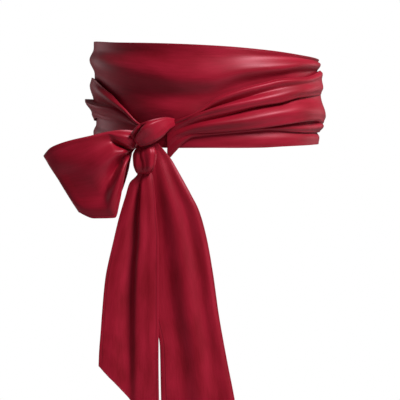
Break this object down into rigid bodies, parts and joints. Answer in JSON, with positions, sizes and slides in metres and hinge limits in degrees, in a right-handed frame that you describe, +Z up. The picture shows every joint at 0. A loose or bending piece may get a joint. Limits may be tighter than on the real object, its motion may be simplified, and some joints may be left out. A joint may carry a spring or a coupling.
{
  "type": "satin sash",
  "caption": "Wide crimson satin sash, wound round a waist and tied in a half bow with two long tails.",
  "frame": {"origin": "middle of the waist hollow, at the middle of the band's height", "axes": "+X to the right as seen from the front, +Y away from the viewer, from front to back of the waist, +Z up"},
  "size_m": [0.3221, 0.2239, 0.5321],
  "materials": {
    "satin": "satin"
  },
  "bodies": {
    "root": {"front_panel": "satin", "right_wrap": "satin", "left_wrap": "satin", "knot_band": "satin", "knot_ball": "satin", "bow_loop": "satin", "tail_front": "satin", "tail_back": "satin"}
  },
  "joints": []
}
